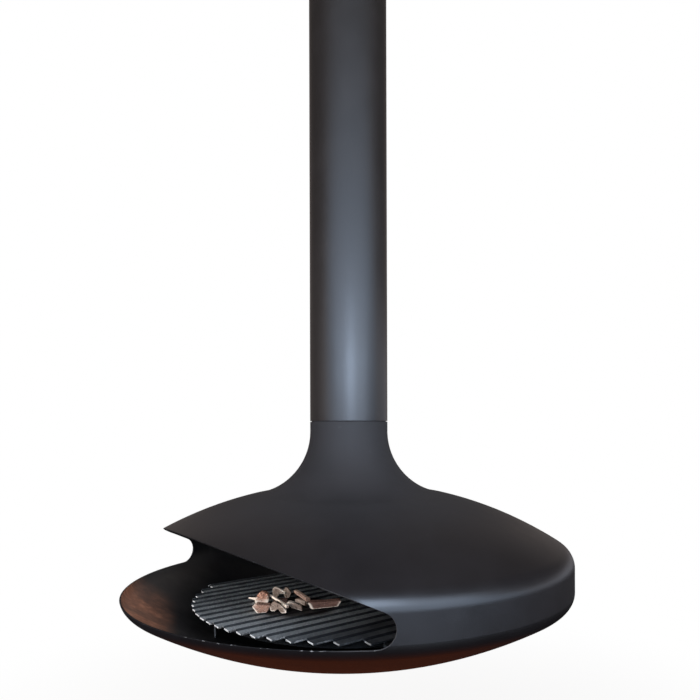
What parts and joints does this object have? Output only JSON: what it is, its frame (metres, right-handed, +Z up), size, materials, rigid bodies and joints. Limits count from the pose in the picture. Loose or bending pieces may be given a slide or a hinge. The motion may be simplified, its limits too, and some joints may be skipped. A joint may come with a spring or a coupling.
{
  "type": "hanging fireplace",
  "caption": "Round hanging wood fireplace: a domed steel hearth with a slanted open mouth and a corrugated grate that turns on a bearing at the foot of its ceiling flue.",
  "frame": {"origin": "centre of the ceiling plate's top face, where it lies against the ceiling", "axes": "+Z up along the flue, -Y out of the middle of the mouth, +X to the right-hand end of the mouth for someone who faces it from outside"},
  "size_m": [1.234, 1.2325, 2.0481],
  "materials": {
    "black_steel": "matt heatproof paint, charcoal black",
    "liner_steel": "bare rolled sheet",
    "bare_steel": "turned and oiled",
    "bronze": "turned",
    "grate_steel": "heat-blued, with bright worn ridges",
    "seal_rope": "braided glass rope",
    "split_wood": "split and barked"
  },
  "bodies": {
    "flue": {"ceiling_plate": "bare_steel", "hanging_collar": "bare_steel", "collar_screw_1": "bare_steel", "collar_screw_2": "bare_steel", "collar_screw_3": "bare_steel", "collar_screw_4": "bare_steel", "rosette_left": "black_steel", "rosette_right": "black_steel", "rosette_screw_1": "black_steel", "rosette_screw_2": "black_steel", "rosette_screw_3": "black_steel", "rosette_screw_4": "black_steel", "flue_casing": "black_steel", "liner_upper": "liner_steel", "liner_lower": "liner_steel", "spacer_upper": "liner_steel", "spacer_lower": "liner_steel", "support_flange": "bare_steel", "lower_race": "bare_steel"},
    "bearing_cage": {"ball_cage": "bare_steel"},
    "hearth": {"flared_neck": "black_steel", "hood": "black_steel", "bowl": "black_steel", "neck_ring": "bare_steel", "hanger_sleeve": "bare_steel", "sleeve_nut": "bare_steel", "upper_race": "bare_steel", "flue_gasket": "seal_rope", "damper_bush_1": "bronze", "damper_bush_2": "bronze", "stand_hoop": "grate_steel", "stand_leg_1": "grate_steel", "stand_leg_2": "grate_steel", "stand_leg_3": "grate_steel", "stand_leg_4": "grate_steel", "stand_bolt_1": "bare_steel", "stand_bolt_2": "bare_steel", "stand_bolt_3": "bare_steel", "stand_bolt_4": "bare_steel"},
    "damper": {"damper_blade": "bare_steel", "damper_spindle": "bare_steel", "blade_screw_1": "bare_steel", "blade_screw_2": "bare_steel", "damper_lever": "grate_steel", "lever_screw": "bare_steel"},
    "grate": {"fire_grate": "grate_steel", "kindling_1": "split_wood", "kindling_2": "split_wood", "kindling_3": "split_wood", "kindling_4": "split_wood", "kindling_5": "split_wood", "kindling_6": "split_wood", "kindling_7": "split_wood", "kindling_8": "split_wood", "kindling_9": "split_wood", "kindling_10": "split_wood", "kindling_11": "split_wood", "kindling_12": "split_wood"}
  },
  "joints": [
    {"name": "hearth_swivel", "type": "hinge", "parent": "flue", "child": "hearth", "pos_m": [0, 0, -1.4], "axis": [0, 0, 1], "continuous": true},
    {"name": "cage_turn", "type": "hinge", "parent": "flue", "child": "bearing_cage", "pos_m": [0, 0, -1.3616], "axis": [0, 0, 1], "continuous": true},
    {"name": "damper_turn", "type": "hinge", "parent": "hearth", "child": "damper", "pos_m": [0, 0, -1.46], "axis": [-1, 0, 0], "range_deg": [0, 90]},
    {"name": "grate_lift", "type": "slide", "parent": "hearth", "child": "grate", "axis": [0, 0, 1], "range_m": [0, 0.1]}
  ],
  "couplings": [
    {"joint": "cage_turn", "follows": "hearth_swivel", "ratio": 0.5}
  ]
}
